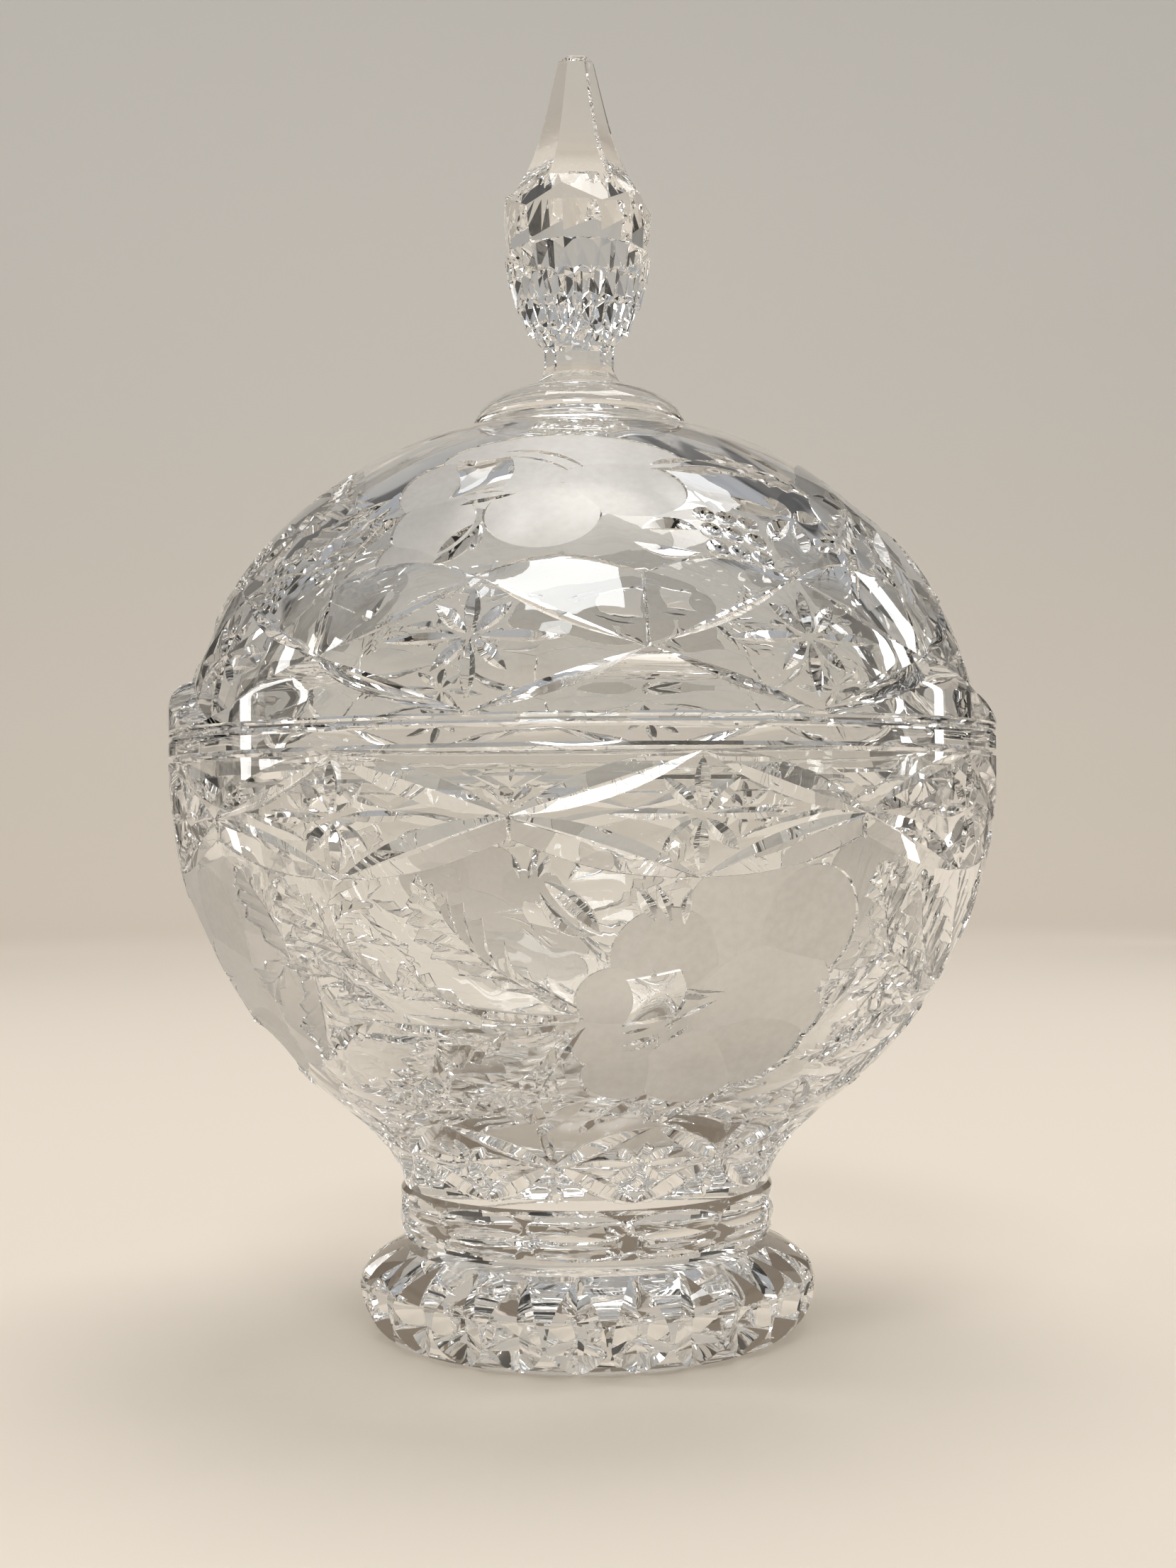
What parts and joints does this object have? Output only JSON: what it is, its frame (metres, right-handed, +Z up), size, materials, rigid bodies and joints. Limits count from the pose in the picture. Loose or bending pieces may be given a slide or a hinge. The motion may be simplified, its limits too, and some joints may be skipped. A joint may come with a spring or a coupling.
{
  "type": "powder jar",
  "caption": "Footed round jar of thick cut glass with a domed lift-off lid, ground seat and faceted pointed finial.",
  "frame": {"origin": "centre of the foot's underside, on the surface that the jar stands on", "axes": "+Z up along the jar's axis, through the finial; -Y towards the side with the carved flower"},
  "size_m": [0.127, 0.127, 0.1975],
  "materials": {
    "clear_crystal": "polished, with acid-frosted flowers"
  },
  "bodies": {
    "jar": {"bowl": "clear_crystal", "foot_ring": "clear_crystal", "foot": "clear_crystal"},
    "lid": {"lid_dome": "clear_crystal", "lid_flange": "clear_crystal", "finial_disc": "clear_crystal", "finial": "clear_crystal"}
  },
  "joints": [
    {"name": "lid_lift", "type": "slide", "parent": "jar", "child": "lid", "axis": [0, 0, 1], "range_m": [0, 0.06]}
  ]
}
